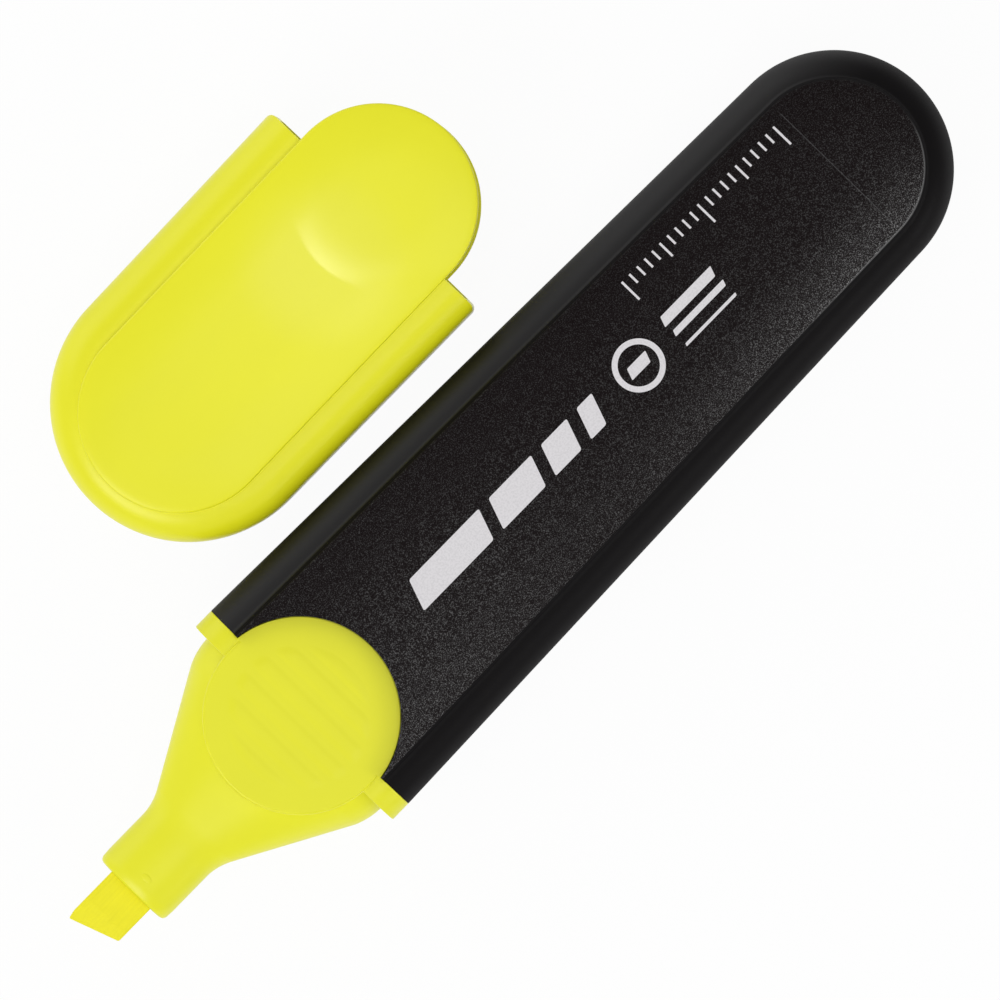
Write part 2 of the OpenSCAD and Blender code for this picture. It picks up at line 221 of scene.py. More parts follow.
def ends_of(edges):
    """The points that edges join, each once."""
    return list(dict.fromkeys(v for e in edges for v in e.verts))


def moved(bm, points, shift, scale=(1, 1, 1)):
    """Scales points about the origin and moves them."""
    bmesh.ops.scale(bm, verts=points, vec=scale)
    bmesh.ops.translate(bm, verts=points, vec=shift)


def pulled(bm, edges, shift, scale=(1, 1, 1)):
    """Draws edges out, scales and moves them, and returns the new edges."""
    made = bmesh.ops.extrude_edge_only(bm, edges=edges)["geom"]
    moved(bm, points_of(made), shift, scale)
    return [g for g in made if isinstance(g, bmesh.types.BMEdge)]


def turned(bm, edges, centre_x, radians, steps):
    """Turns edges about the upright axis at centre_x, sweeping a surface."""
    bmesh.ops.spin(
        bm,
        geom=ends_of(edges) + edges,
        cent=(centre_x, 0, 0),
        axis=(0, 0, 1),
        angle=radians,
        steps=steps,
    )


def cleaned(bm):
    """Joins points that lie together and takes out what has no size."""
    bmesh.ops.remove_doubles(bm, verts=bm.verts, dist=JOIN)
    bmesh.ops.dissolve_degenerate(bm, edges=bm.edges, dist=JOIN)


def closed(bm):
    """Cleans a form, fills its open ends and turns every face outwards."""
    cleaned(bm)
    bmesh.ops.holes_fill(bm, edges=[e for e in bm.edges if e.is_boundary], sides=0)
    bmesh.ops.recalc_face_normals(bm, faces=bm.faces)
    return bm


def mirrored(bm, *axes):
    """Mirrors a form in planes through the origin, joins the halves and closes it."""
    for axis in axes:
        bmesh.ops.mirror(bm, geom=whole(bm), axis=axis, merge_dist=JOIN)
        bmesh.ops.remove_doubles(bm, verts=bm.verts, dist=JOIN)
    return closed(bm)


def rounded(bm, geometry, rounding, segments, affect="EDGES"):
    """Rounds edges, or the corners of a wire or a flat form."""
    bmesh.ops.bevel(
        bm,
        geom=geometry,
        offset=rounding,
        offset_type="OFFSET",
        segments=segments,
        profile=0.5,
        affect=affect,
        clamp_overlap=affect == "EDGES",
        material=-1,
    )


def sliced(bm, place, normal, clear_outer=False):
    """Cuts along a plane and, where asked, takes off what lies on the normal's side."""
    bmesh.ops.bisect_plane(
        bm,
        geom=whole(bm),
        plane_co=place,
        plane_no=Vector(normal).normalized(),
        clear_outer=clear_outer,
        dist=JOIN,
    )


def sharp_edges(bm, degrees):
    """The edges whose faces turn by more than an angle."""
    limit = math.radians(degrees)
    return [e for e in bm.edges if e.is_manifold and e.calc_face_angle(0) > limit]


def mesh_of(bm, name):
    """Turns drawn geometry into a mesh and uses it up."""
    mesh = bpy.data.meshes.new(name)
    bm.to_mesh(mesh)
    bm.free()
    return mesh


def combined(form, operation, *tools):
    """Joins, cuts or intersects a closed form with others, in turn, and uses them all up."""
    for tool in tools:
        pair = [bpy.data.objects.new("form", mesh_of(bm, "form")) for bm in (form, tool)]
        for piece in pair:
            bpy.context.scene.collection.objects.link(piece)
        base, other = pair
        cut = base.modifiers.new("Cut", "BOOLEAN")
        cut.operation, cut.object, cut.solver = operation, other, "EXACT"
        result = base.evaluated_get(bpy.context.evaluated_depsgraph_get())
        mesh = bpy.data.meshes.new_from_object(result)
        form = bmesh.new()
        form.from_mesh(mesh)
        spent = (base.data, other.data, mesh)
        for piece in pair:
            bpy.data.objects.remove(piece)
        for spent_mesh in spent:
            bpy.data.meshes.remove(spent_mesh)
        cleaned(form)
    return form


def drum(radius, low, high, x=0.0, end_radius=None, along="Z", segments=128):
    """A closed cylinder or cone between two places along Z or X."""
    bm = bmesh.new()
    bmesh.ops.create_cone(
        bm,
        cap_ends=True,
        segments=segments,
        radius1=radius,
        radius2=radius if end_radius is None else end_radius,
        depth=high - low,
    )
    if along == "X":
        bmesh.ops.rotate(bm, verts=bm.verts, matrix=Matrix.Rotation(math.pi / 2, 3, "Y"))
        moved(bm, bm.verts, ((low + high) / 2, 0, 0))
    else:
        moved(bm, bm.verts, (x, 0, (low + high) / 2))
    return bm


def block(corner, far_corner):
    """A closed box between two opposite corners."""
    corner, far_corner = Vector(corner), Vector(far_corner)
    bm = bmesh.new()
    bmesh.ops.create_cube(bm, size=1)
    moved(bm, bm.verts, (corner + far_corner) / 2, [abs(side) for side in far_corner - corner])
    return bm


def both_sides(bm):
    """Adds the mirror image in the pen's middle plane, left as a separate shell."""
    copies = bmesh.ops.duplicate(bm, geom=whole(bm))["geom"]
    moved(bm, points_of(copies), (0, 0, 0), (1, 1, -1))
    bmesh.ops.recalc_face_normals(bm, faces=bm.faces)
    return bm


def add_piece(name, bm, finish, body, nodes=(), place=PEN_MIDDLE, crease=32):
    """Makes a finished mesh an object that rides on its body and stands for its nodes."""
    bmesh.ops.transform(bm, verts=bm.verts, matrix=place)
    for face in bm.faces:
        face.smooth = True
    for edge in sharp_edges(bm, crease):
        edge.smooth = False
    piece = bpy.data.objects.new(name, mesh_of(bm, name))
    piece.data.materials.append(finish)
    piece.modifiers.new("Even shading", "WEIGHTED_NORMAL").keep_sharp = True
    bpy.context.scene.collection.objects.link(piece)
    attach(piece, body)
    if nodes:
        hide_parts(*nodes)
    return piece


# ---------------- finishes


class Wire:
    """A value that varies from place to place. Arithmetic on it adds Math nodes."""

    def __init__(self, nodes, socket):
        self.nodes = nodes
        self.socket = socket

    def __add__(self, other):
        return self.nodes.math("ADD", self, other)

    def __radd__(self, other):
        return self.nodes.math("ADD", other, self)

    def __sub__(self, other):
        return self.nodes.math("SUBTRACT", self, other)

    def __rsub__(self, other):
        return self.nodes.math("SUBTRACT", other, self)

    def __mul__(self, other):
        return self.nodes.math("MULTIPLY", self, other)

    def __rmul__(self, other):
        return self.nodes.math("MULTIPLY", other, self)

    def __abs__(self):
        return self.nodes.math("ABSOLUTE", self)


class Nodes:
    """The node tree of a material or a world, built node by node."""

    def __init__(self, owner):
        owner.use_nodes = True
        self.tree = owner.node_tree
        self.tree.nodes.clear()

    def node(self, kind, settings=None, inputs=None):
        """Adds a node: its settings are set first, then the values or wires of its sockets."""
        made = self.tree.nodes.new(kind)
        for key, value in (settings or {}).items():
            setattr(made, key, value)
        for key, value in (inputs or {}).items():
            self.feed(made.inputs[key], value)
        return made

    def feed(self, socket, value):
        """Gives a socket a wire or a constant."""
        if isinstance(value, Wire):
            self.tree.links.new(value.socket, socket)
        elif socket.type == "RGBA" and len(value) == 3:
            socket.default_value = (*value, 1)
        else:
            socket.default_value = value

    def wire(self, kind, output, settings=None, inputs=None):
        """Adds a node and returns the wire from one of its outputs."""
        return Wire(self, self.node(kind, settings, inputs).outputs[output])

    def math(self, operation, *values):
        """The result of a Math node."""
        return self.wire("ShaderNodeMath", "Value", {"operation": operation}, dict(enumerate(values)))


class Finish(Nodes):
    """A procedural material on object coordinates."""

    def __init__(self, name, **constants):
        self.material = bpy.data.materials.new(name)
        super().__init__(self.material)
        self.shader = self.node("ShaderNodeBsdfPrincipled", inputs=constants)
        surface = {"Surface": Wire(self, self.shader.outputs["BSDF"])}
        self.node("ShaderNodeOutputMaterial", inputs=surface)
        self.place = self.wire("ShaderNodeTexCoord", "Object")
        parts = self.node("ShaderNodeSeparateXYZ", inputs={"Vector": self.place})
        self.x, self.y, self.z = (Wire(self, socket) for socket in parts.outputs)

    def step(self, value, low, high):
        """Nothing below low, all above high and a soft change between."""
        inputs = {"Value": value, "From Min": low, "From Max": high}
        return self.wire("ShaderNodeMapRange", "Result", {"interpolation_type": "SMOOTHSTEP"}, inputs)

    def fade(self, value, low, high):
        """All below low, nothing above high and a soft change between."""
        return 1 - self.step(value, low, high)

    def noise(self, scale, detail, roughness, stretch=None):
        """A cloudy pattern around one half, with so many lumps to the metre."""
        place = self.place
        if stretch:
            inputs = {"Vector": place, "Scale": stretch}
            place = self.wire("ShaderNodeMapping", "Vector", inputs=inputs)
        inputs = {"Vector": place, "Scale": scale, "Detail": detail, "Roughness": roughness}
        return self.wire("ShaderNodeTexNoise", "Fac", inputs=inputs)

    def blend(self, factor, first, second):
        """Mixes two colours; a Mix node's colour sockets go by number."""
        inputs = {"Factor": factor, 6: first, 7: second}
        return self.wire("ShaderNodeMix", 2, {"data_type": "RGBA"}, inputs)

    def tones(self, factor, colour, first, second):
        """A colour that varies between two tones."""
        return self.blend(factor, shaded(colour, first), shaded(colour, second))

    def disc(self, centre, inner, outer):
        """All inside a disc seen from above, nothing outside it and a soft change between."""
        along, across = self.x - centre[0], self.y - centre[1]
        return self.fade(along * along + across * across, inner**2, outer**2)

    def bump(self, height, distance=1.0):
        """Normals that lean as if the surface had this height, times a distance."""
        inputs = {"Height": height, "Distance": distance, "Strength": 1.0}
        return self.wire("ShaderNodeBump", "Normal", inputs=inputs)

    def set(self, **wires):
        """Feeds the shader's sockets, named with underscores for spaces, and returns the material."""
        for key, value in wires.items():
            self.feed(self.shader.inputs[key.replace("_", " ")], value)
        return self.material


def shaded(colour, factor):
    """A colour made darker or lighter."""
    return tuple(min(1.0, part * factor) for part in colour)


def painted_sheen_spread(finish):
    """Painted sheen: how much the panels' grain glitters, set by place to stand in for light, most near
    the nib and in the rear corner away from the cap.
    """
    away = finish.fade(finish.y, -12 * MM, 10 * MM)
    front = finish.fade(finish.x, -46 * MM, 6 * MM)
    corner = finish.fade(finish.y, -11 * MM, -2 * MM) * finish.step(finish.x, -15 * MM, 32 * MM)
    return away * (front * 0.46 + 0.3) + front * 0.18 + corner * 1.5 + 0.2


def painted_edge_highlight(finish, height, edge_height):
    """A painted highlight: a lighter line along the panels' edge at that corner."""
    above = finish.step(height, edge_height - 0.2 * MM, edge_height - 0.1 * MM)
    line = above * finish.fade(height, edge_height - 0.02 * MM, edge_height + 0.03 * MM)
    return line * finish.step(finish.x, 12 * MM, 30 * MM) * finish.fade(finish.y, -5 * MM, -1 * MM)


def witness_line(finish, line_x):
    """A hair line across the panels, left by the mould."""
    line = finish.fade(abs(finish.x - line_x), 0.02 * MM, 0.06 * MM)
    return line * finish.fade(abs(finish.y), 6.5 * MM, 8 * MM)


def barrel_finish(colours, sizes):
    """Charcoal plastic with spark-eroded grain on the panels and a smooth rim; its coat also carries
    painted sheen and a painted edge highlight.
    """
    lobes = {"Specular IOR Level": 0.1, "Coat IOR": 2.5, "Coat Roughness": 0.5}
    finish = Finish("charcoal_plastic", **lobes)
    height = abs(finish.z - PEN_THICKNESS / 2)
    rim_top = rim_height(sizes)
    panel_low = rim_top + sizes.panel_step
    panel = finish.step(height, panel_low - 0.1 * MM, panel_low - 0.02 * MM)
    wall = finish.step(height, rim_top, panel_low - 0.7 * sizes.panel_step)
    flank = finish.fade(height, rim_top - 2.4 * MM, rim_top - 0.6 * MM)
    grain = finish.noise(10500, 1, 0.5)
    coarse = finish.noise(1700, 2, 0.5)
    spark = finish.step(grain + (coarse - 0.5) * 0.12, 0.49, 0.73) * panel
    # The grain's glitter is real; its spread by place is painted sheen
    grain_glitter_and_painted_sheen = (spark * 0.75 + panel * 0.038) * painted_sheen_spread(finish)
    # Painted highlight along the panels' edge in the rear corner away from the cap
    glint = painted_edge_highlight(finish, height, panel_low) * 0.5
    # Painted sheen on the rim's side towards the cap
    painted_rim_sheen = (1 - wall) * finish.step(finish.y, 3 * MM, 10 * MM) * 0.115
    line = witness_line(finish, END_X - sizes.end_radius) * panel
    plain = finish.blend(panel, colours.charcoal, colours.panel_charcoal)
    charcoal = finish.blend(spark, plain, shaded(colours.charcoal, 1.6))
    return finish.set(
        Base_Color=finish.blend(line, charcoal, shaded(colours.print_white, 0.06)),
        Roughness=0.45 + wall * 0.3 + flank * 0.18 + (coarse - 0.5) * 0.1,
        Coat_Weight=grain_glitter_and_painted_sheen + glint + painted_rim_sheen,
        Normal=finish.bump(coarse * (panel * 0.97 + 0.03), 0.1 * MM),
    )


def yellow_finish(name, colour, roughness, pattern):
    """Fluorescent moulded plastic with a faint flow in its colour and a satin skin."""
    finish = Finish(name, **{"IOR": 1.48, "Coat Roughness": 0.22})
    flow = finish.noise(pattern, 3, 0.55, stretch=(1, 2.2, 2.2))
    finish.set(
        Base_Color=finish.tones(flow, colour, 0.965, 1.02),
        Roughness=roughness + (flow - 0.5) * 0.08,
    )
    return finish, finish.noise(2600, 2, 0.5) * SKIN_DEPTH


def front_finish(colour, front):
    """The front section's plastic, with soft grip ribs across the round pad."""
    finish, skin = yellow_finish("front_plastic", colour, 0.36, 90)
    pad = (MOUTH_X - front.pad_setback, 0)
    reach = front.pad_radius - front.rib_margin
    wave = finish.math("PINGPONG", finish.x - pad[0], front.rib_pitch / 2)
    rib_low, rib_high = 0.25 * MM, 0.95 * MM  # where a rib's flank starts and ends
    ribs = finish.step(wave, rib_low, rib_high) * finish.disc(pad, reach - MM, reach)
    return finish.set(Normal=finish.bump(skin + ribs * front.rib_height))


def cap_finish(colour, cap):
    """The cap's plastic, polished where the tongue's face falls to its crease."""
    finish, skin = yellow_finish("cap_plastic", colour, 0.33, 70)
    lens = (-cap.rest_x - cap.dome_start - cap.dome_run, cap.rest_y)
    return finish.set(Coat_Weight=finish.disc(lens, 2 * MM, 9 * MM) * 0.7, Normal=finish.bump(skin))


def fibre_finish(name, colour):
    """Pressed fibres that run along the nib, dark with ink between them."""
    finish = Finish(name, IOR=1.4)
    fibres = finish.noise(260, 4, 0.6, stretch=(1, 16, 16))
    pores = finish.noise(3000, 2, 0.5)
    return finish.set(
        Base_Color=finish.tones(fibres, colour, 0.9, 1.06),
        Roughness=0.62 + pores * 0.2,
        Normal=finish.bump(fibres * 0.6 + pores * 0.4, 0.05 * MM),
    )


def print_finish(colour):
    """Off-white pad-printed ink, a little thin over the grain."""
    finish = Finish("print_ink", IOR=1.45)
    thin = finish.noise(5200, 2, 0.6)
    cover = finish.step(thin, 0.35, 0.6)
    return finish.set(Base_Color=finish.tones(cover, colour, 0.9, 1), Roughness=0.5 + thin * 0.1)


def plain_plastic(name, colour, roughness):
    """Plastic inside the pen, with a faint unevenness."""
    finish = Finish(name)
    cloud = finish.noise(700, 2, 0.5)
    return finish.set(
        Base_Color=finish.tones(cloud, colour, 0.94, 1), Roughness=roughness + cloud * 0.08
    )


# ---------------- barrel


def crown_arc(fall, run):
    """Radius, and sweep in degrees, of a curved fall over a run."""
    radius = (run * run + fall * fall) / (2 * fall)
    return radius, math.degrees(math.asin(run / radius))


def rim_height(s):
    """Height of the barrel's rim over the pen's middle plane."""
    return PEN_THICKNESS / 2 - s.panel_crown - s.panel_step


def barrel_outline(s):
    """The centre of the round end, the mouth's spread over it, and the slant of the sides."""
    centre_x = END_X - s.end_radius
    spread = s.mouth_width / 2 / s.end_radius
    slant = math.atan((s.mouth_width / 2 - s.end_radius) / (centre_x - MOUTH_X))
    return centre_x, spread, slant


def round_ended(bm, s, mouth_x, steps):
    """Sweeps a quarter section, drawn at the centre of the round end, round it and out to the mouth."""
    centre_x, spread, slant = barrel_outline(s)
    section = bm.edges[:]
    back = Matrix.Rotation(-slant, 3, "Z")
    bmesh.ops.rotate(bm, verts=bm.verts, cent=(centre_x, 0, 0), matrix=back)
    turned(bm, section, centre_x, slant - math.pi / 2, steps)
    mouth = ends_of(pulled(bm, section, (0, 0, 0)))
    bmesh.ops.rotate(bm, verts=mouth, cent=(centre_x, 0, 0), matrix=back.inverted())
    moved(bm, mouth, (mouth_x - centre_x, 0, 0), (1, spread, 1))
    bmesh.ops.remove_doubles(bm, verts=bm.verts, dist=JOIN)


def barrel_skin(s):
    """Outer skin of the barrel: crowned panels that step down to a rounded rim."""
    bm = bmesh.new()
    top = PEN_THICKNESS / 2
    fall_radius, sweep = crown_arc(s.panel_crown, s.panel_radius - s.flat_strip)
    foot_y = s.panel_radius + 0.12 * MM  # the panel's wall leans by this much
    arc_y, arc_z = s.end_radius - s.rim_rounding, rim_height(s) - s.rim_rounding
    start = math.asin((foot_y - arc_y) / s.rim_rounding)
    pen = Section(bm, END_X - s.end_radius, 0, top)
    pen.line(s.flat_strip, top)
    edge = pen.arc(s.flat_strip, top - fall_radius, -sweep, 8)
    foot = pen.line(foot_y, arc_z + s.rim_rounding * math.cos(start))
    pen.arc(arc_y, arc_z, math.degrees(start) - 90, 12)
    pen.line(s.end_radius, 0)
    pen.round_corner(edge, s.panel_edge)
    pen.round_corner(foot, s.rim_foot)
    round_ended(bm, s, MOUTH_X, 40)
    return mirrored(bm, "Z", "Y")


def barrel_lining(s, inset, mouth_x, end_x=None):
    """Inner face of the barrel, or the outer face of what fits in it, closed at its mouth."""
    bm = bmesh.new()
    centre_x, spread, _ = barrel_outline(s)
    top, rim_top = PEN_THICKNESS / 2 - inset, rim_height(s) - inset
    side, panel_side = s.end_radius - inset, s.panel_radius - inset
    fall_radius, sweep = crown_arc(s.panel_crown, s.panel_radius - s.flat_strip)
    sweep *= (panel_side - s.flat_strip) / (s.panel_radius - s.flat_strip)
    pen = Section(bm, centre_x, 0, top)
    pen.line(s.flat_strip, top)
    pen.arc(s.flat_strip, top - fall_radius, -sweep, 6)
    pen.line(panel_side, rim_top)
    corner = pen.line(side, rim_top)
    pen.line(side, 0)
    pen.round_corner(corner, s.rim_rounding - inset, 6)
    if end_x is None:
        round_ended(bm, s, mouth_x, 24)
    else:
        moved(bm, bm.verts, (mouth_x - centre_x, 0, 0), (1, spread, 1))
        pulled(bm, bm.edges[:], (end_x - mouth_x, 0, 0))
    return mirrored(bm, "Z", "Y")


def barrel_shell(s, front):
    """The hollow barrel with a round notch for the grip pad in each panel's mouth end."""
    lining = barrel_lining(s, s.wall, MOUTH_X - MM)
    notch_low, notch_x = rim_height(s) - s.wall - 0.1 * MM, MOUTH_X - front.pad_setback
    notch = drum(s.notch_radius, notch_low, PEN_THICKNESS, notch_x, segments=160)
    return combined(barrel_skin(s), "DIFFERENCE", lining, both_sides(notch))


def panel_height(s, x, y):
    """Height of the upper panel's face over the table at a place on it."""
    centre_x, spread, _ = barrel_outline(s)
    share = (centre_x - x) / (centre_x - MOUTH_X)
    across = abs(y) / (1 + (spread - 1) * share)
    radius, _ = crown_arc(s.panel_crown, s.panel_radius - s.flat_strip)
    out = max(0.0, across - s.flat_strip)
    return PEN_THICKNESS - (radius - math.sqrt(radius * radius - out * out))


# ---------------- printed marks


def flat_bar(bm, x, y, length, width, lean=0.0, rounding=0.0):
    """A flat bar in millimetres, its long side along X, with ends that lean like a chisel stroke."""
    made = bmesh.ops.create_grid(bm, x_segments=1, y_segments=1, size=0.5)["verts"]
    moved(bm, made, (x + length / 2, y, 0), (length, width, 1))
    for v in made:
        v.co.x += (v.co.y - y) * lean
    if rounding:
        rounded(bm, made, rounding, 5, "VERTICES")


def flat_ring(bm, x, y, radius, width):
    """A flat ring in millimetres."""
    loops = []
    for r in (radius, radius - width):
        made = bmesh.ops.create_circle(bm, segments=64, radius=r)["verts"]
        moved(bm, made, (x, y, 0))
        loops += dict.fromkeys(e for v in made for e in v.link_edges)
    bmesh.ops.bridge_loops(bm, edges=loops)


def draw_strokes(bm):
    """A row of chisel strokes that grow shorter."""
    x = -26
    for length in (9.2, 5.6, 3.4, 2.0):
        flat_bar(bm, x, 0.15, length, 3.0, LEAN, 0.2)
        x += length + 1.3


def draw_ring(bm):
    """A plain ring with a bar in it."""
    flat_ring(bm, 3.5, 0.3, 2.5, 0.55)
    flat_bar(bm, 2.3, 0.3, 2.4, 1.1, LEAN, 0.1)


def draw_widths(bm):
    """Three lines, thick to thin."""
    for y, width in ((1.5, 1.0), (0, 0.6), (-1.5, 0.3)):
        flat_bar(bm, 7.9, y, 6.6, width, LEAN, 0.08)


def draw_ruler(bm):
    """A short scale with a tick for each millimetre."""
    for i in range(21):
        tall = 2.3 if i % 10 == 0 else 1.7 if i % 5 == 0 else 1.1
        flat_bar(bm, 7.8 + i, 6.8 - tall / 2, 0.22, tall)


def laid_on_panel(bm, s):
    """Cuts flat marks into short lengths, lays them on the upper panel and thickens them."""
    moved(bm, bm.verts, (0, 0, 0), (MM, MM, 1))
    length, width = 1 * MM, 0.4 * MM  # of a cut piece
    for i in range(-40, 41):
        sliced(bm, (i * length, 0, 0), (1, 0, 0))
        sliced(bm, (0, i * width, 0), (0, 1, 0))
    bmesh.ops.recalc_face_normals(bm, faces=bm.faces)
    for face in bm.faces:
        if face.normal.z < 0:
            face.normal_flip()
    grown = bmesh.ops.extrude_face_region(bm, geom=bm.faces[:])["geom"]
    upper = set(points_of(grown))
    for v in bm.verts:
        lift = s.mark_height if v in upper else -s.mark_height
        v.co.z = panel_height(s, v.co.x, v.co.y) + lift
    bmesh.ops.recalc_face_normals(bm, faces=bm.faces)
    return bm


# ---------------- front section and nib


def eased(x, run, width, widening, thickness, thickening, steps=10):
    """Stations along a run on which the width and thickness change more and more."""
    parts = [i / steps for i in range(steps + 1)]
    return [(x + run * p, width + widening * p**2, thickness + thickening * p**2) for p in parts]


def nose_stations(front, collar_x):
    """Sections of the nose from the collar to the nozzle's end: place, width and thickness."""
    shoulder_run, flank_run, flare_run = 2.9 * MM, 10.2 * MM, 2.9 * MM
    narrowing, flare = 1.3 * MM, 10 * MM - front.nozzle_width
    width, thick = front.shoulder_width, PEN_THICKNESS - 3.2 * MM
    nozzle_x = collar_x - shoulder_run - flank_run - flare_run
    nozzle = front.nozzle_width, front.nozzle_thickness
    slope = (thick - nozzle[1]) / (shoulder_run / 2 + flank_run + flare_run / 2)
    fall, rise = slope * shoulder_run / 2, slope * flare_run / 2
    stations = [(collar_x + MM, width, thick)]
    stations += eased(collar_x, -shoulder_run, width, -narrowing, thick, -fall)
    stations += reversed(eased(nozzle_x, flare_run, nozzle[0], flare, nozzle[1], rise))
    # The nozzle's softened end, in millimetres: before the end, and taken off the width and thickness
    for ahead, narrower, thinner in ((1.2, 0, 0), (0.35, 0.12, 0.3), (0.1, 0.4, 0.6), (0, 0.8, 1.0)):
        place = NOZZLE_END_X + ahead * MM
        stations.append((place, nozzle[0] - narrower * MM, nozzle[1] - thinner * MM))
    return stations


def nose(front, collar_x):
    """The nose, drawn out from a squarish oval through its stations."""
    bm = bmesh.new()
    ring = bmesh.ops.create_circle(bm, segments=96, radius=1)["verts"]
    power = 2 / 2.25  # 1 gives an ellipse, less a squarer form
    for v in ring:
        y, z = (math.copysign(abs(part) ** power, part) for part in v.co.xy)
        v.co = (0, y, z)
    stations = nose_stations(front, collar_x)
    x, width, thick = stations[0]
    moved(bm, ring, (x, 0, 0), (1, width / 2, thick / 2))
    edges = bm.edges[:]
    for next_x, next_width, next_thick in stations[1:]:
        scale = (1, next_width / width, next_thick / thick)
        edges = pulled(bm, edges, (next_x - x, 0, 0), scale)
        x, width, thick = next_x, next_width, next_thick
    return closed(bm)


def nozzle_tick(front):
    """A short raised tick on each face of the nozzle."""
    half_length, half_width = 0.32 * MM, 0.55 * MM
    place = (NOZZLE_END_X + 1.86 * MM, -0.25 * MM, front.nozzle_thickness / 2)
    bm = bmesh.new()
    made = bmesh.ops.create_uvsphere(bm, u_segments=32, v_segments=24, radius=1)["verts"]
    moved(bm, made, place, (half_length, half_width, front.tick_height))
    return both_sides(bm)


def rim_quarter(x, half_width, top, rounding, segments):
    """A quarter of a rim's section, its corner rounded."""
    bm = bmesh.new()
    pen = Section(bm, x, 0, top)
    corner = pen.line(half_width, top)
    pen.line(half_width, 0)
    pen.round_corner(corner, rounding, segments)
    return bm


def collar(front, barrel):
    """The collar between the barrel and the cap."""
    collar_x = MOUTH_X - front.collar_length
    top = rim_height(barrel)
    bm = rim_quarter(collar_x, barrel.mouth_width / 2, top, barrel.rim_rounding, 14)
    pulled(bm, bm.edges[:], (front.collar_length, 0, 0))
    mirrored(bm, "Z", "Y")
    edge_rounding = 0.1 * MM
    rounded(bm, sharp_edges(bm, 60), edge_rounding, 2)
    return bm


def grip_pad(front, x):
    """A round pad with a softened edge and a step round it inside the notch."""
    pad = drum(front.pad_radius, front.nozzle_thickness / 2, front.pad_level, x, segments=160)
    rim = [e for e in pad.edges if all(v.co.z > front.pad_level - JOIN for v in e.verts)]
    rounded(pad, rim, front.pad_edge, 3)
    skirt = drum(front.skirt_radius, front.nozzle_thickness / 2, front.skirt_level, x, segments=160)
    behind = block((MOUTH_X - 0.1 * MM, -CLEAR, 0), (MOUTH_X + CLEAR, CLEAR, CLEAR))
    return both_sides(combined(pad, "UNION", combined(skirt, "INTERSECT", behind)))


def bore_cuts(bore_gap, slot_gap, funnel):
    """What the front section is bored with: the reservoir's bore, a funnel and the nib's slot."""
    bore = (SLEEVE_HIGH.y - SLEEVE_LOW.y) / 2 + bore_gap
    slot_half = (NIB_HIGH - NIB_LOW) / 2 + Vector((0, slot_gap, slot_gap))
    slot_low = (NOZZLE_END_X - MM, -slot_half.y, -slot_half.z)
    # The funnel would meet the bore's wall at the core; it stops half a gap before that, inside the bore
    short = bore_gap / 2
    end_radius = bore - (bore - slot_half.z) * short / funnel
    low, high = CORE_LOW.x - funnel, CORE_LOW.x - short
    return (
        drum(bore, CORE_LOW.x - bore_gap, FRONT_HIGH.x + MM, along="X", segments=64),
        drum(slot_half.z, low, high, end_radius=end_radius, along="X", segments=64),
        block(slot_low, (CORE_LOW.x, slot_half.y, slot_half.z)),
    )


def front_section(front, barrel):
    """Nose, collar, plug and pads in one moulding, bored for the nib and the reservoir."""
    plug_inset = barrel.wall + 0.25 * MM
    additions = (
        collar(front, barrel),
        barrel_lining(barrel, plug_inset, MOUTH_X - MM, FRONT_HIGH.x),
        nozzle_tick(front),
        grip_pad(front, MOUTH_X - front.pad_setback),
    )
    moulding = combined(nose(front, MOUTH_X - front.collar_length), "UNION", *additions)
    cuts = bore_cuts(bore_gap=0.1 * MM, slot_gap=0.05 * MM, funnel=10.55 * MM)
    return combined(moulding, "DIFFERENCE", *cuts)


def nib_bar(front):
    """The chisel nib: a slanted edge seen from above, a blunt wedge seen from the side."""
    half_width = (NIB_HIGH.y - NIB_LOW.y) / 2
    half_thick = (NIB_HIGH.z - NIB_LOW.z) / 2
    heel_x = NIB_TIP_X + 2 * half_width * math.tan(front.nib_slant)
    bm = block((NIB_TIP_X, -half_width, -half_thick), (NIB_HIGH.x, half_width, half_thick))
    for v in bm.verts:
        if v.co.x < heel_x and v.co.y < 0:
            v.co.x = heel_x
    thinning = half_thick - front.nib_edge / 2
    for side in (1, -1):
        bevel_start = (NIB_TIP_X, 0, side * front.nib_edge / 2)
        sliced(bm, bevel_start, (-thinning, 0, side * front.nib_bevel), clear_outer=True)
        closed(bm)
    corner_start = (NIB_TIP_X + front.nib_corner, half_width, 0)
    sliced(bm, corner_start, (-front.nib_corner_depth, front.nib_corner, 0), clear_outer=True)
    closed(bm)
    edge_rounding = 0.16 * MM
    rounded(bm, sharp_edges(bm, 5), edge_rounding, 3)
    return bm


# ---------------- cap


def cap_place(cap):
    """Where the cap lies: on the sloping part of its lower panel, beside the pen."""
    run = cap.length - cap.tail_band - cap.knee
    slope = math.atan((PEN_THICKNESS - cap.tail_thickness) / 2 / run)
    return (
        Matrix.Translation((-cap.rest_x - cap.knee, cap.rest_y, 0))
        @ Matrix.Rotation(cap.rest_turn, 4, "Z")
        @ Matrix.Rotation(-slope, 4, "Y")
        @ Matrix.Translation((cap.knee, 0, PEN_THICKNESS / 2))
    )


def panel_fall(cap, x, y):
    """How far a panel's face lies below its tongue: a soft dome falls to a long slope."""
    crease = cap.dome_start + cap.dome_run
    fall = (PEN_THICKNESS - cap.tail_thickness) / 2 - cap.dome_fall
    slope = fall / (cap.length - cap.tail_band - crease)
    on_slope = cap.dome_fall + (-x - crease) * slope
    along_dome = max(0.0, -x - cap.dome_start + y * y / (2 * cap.dome_bow)) / cap.dome_run
    return max(0.0, min(on_slope, cap.dome_fall * along_dome**2))


def tapered(bm, cap, top):
    """Thins a form towards the tail as the rim does."""
    share = (top - cap.tail_rim / 2) / top / cap.length
    for v in bm.verts:
        v.co.z *= 1 + share * min(v.co.x, 0)


